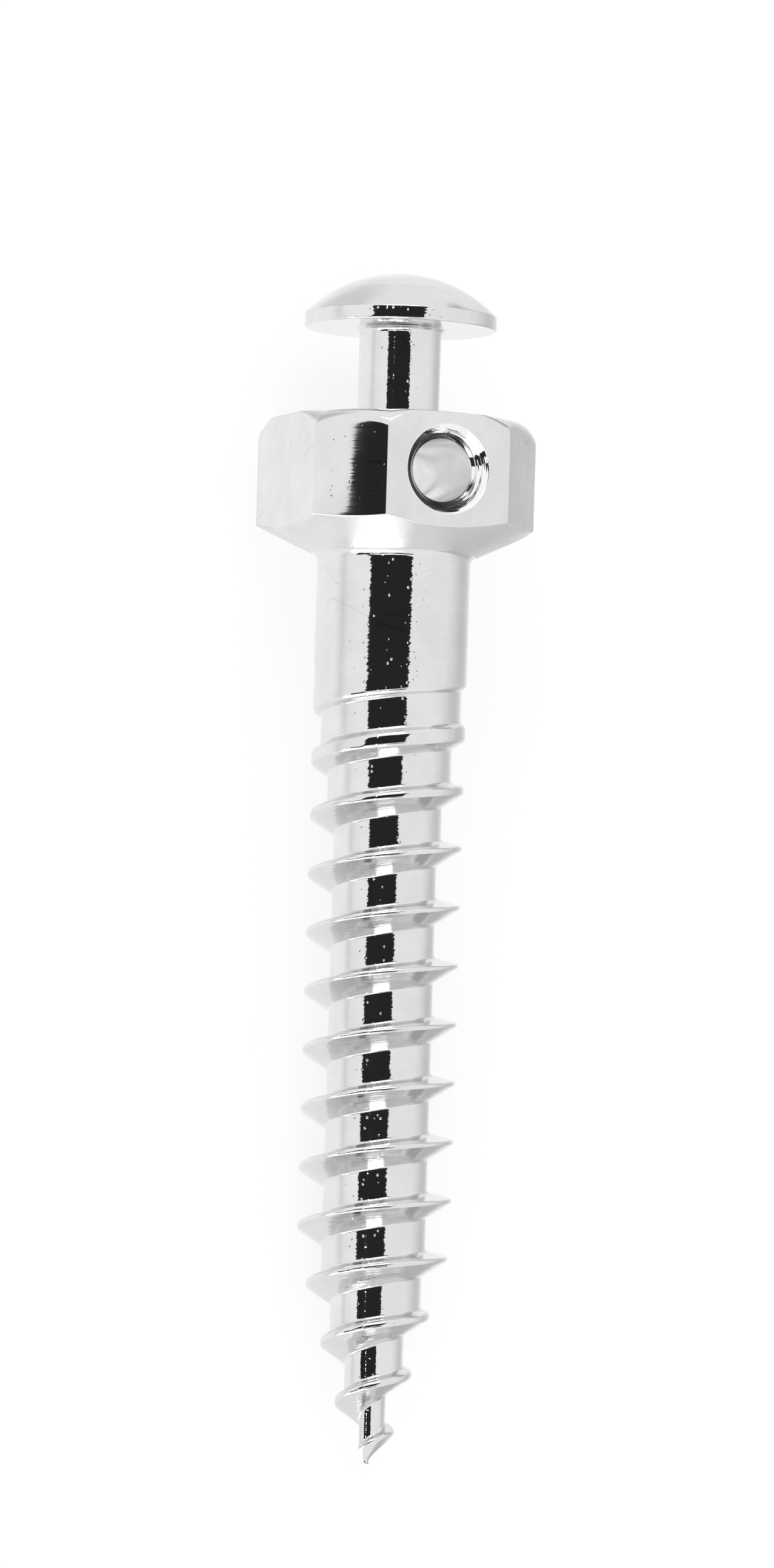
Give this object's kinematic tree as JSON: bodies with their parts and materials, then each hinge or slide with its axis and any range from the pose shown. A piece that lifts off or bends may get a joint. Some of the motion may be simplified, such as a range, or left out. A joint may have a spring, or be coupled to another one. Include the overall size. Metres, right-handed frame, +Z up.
{
  "type": "bone micro screw",
  "caption": "Self-tapping steel bone micro screw with a tapered buttress thread, plain collar, faceted drive platform with a countersunk cross hole, short neck and domed button head.",
  "frame": {"origin": "middle of the screw's bounding box at table height, with the screw lying as it comes to rest", "axes": "+Y along the screw from point to head, within 4 degrees, because it lies on its platform and thread crest; +Z up out of the cross hole; +X out of a bare facet"},
  "size_m": [0.0032, 0.0156, 0.0033],
  "materials": {
    "steel": "polished, with fine turning marks and light hairline scratches"
  },
  "bodies": {
    "root": {"bone_micro_screw": "steel"}
  },
  "joints": []
}
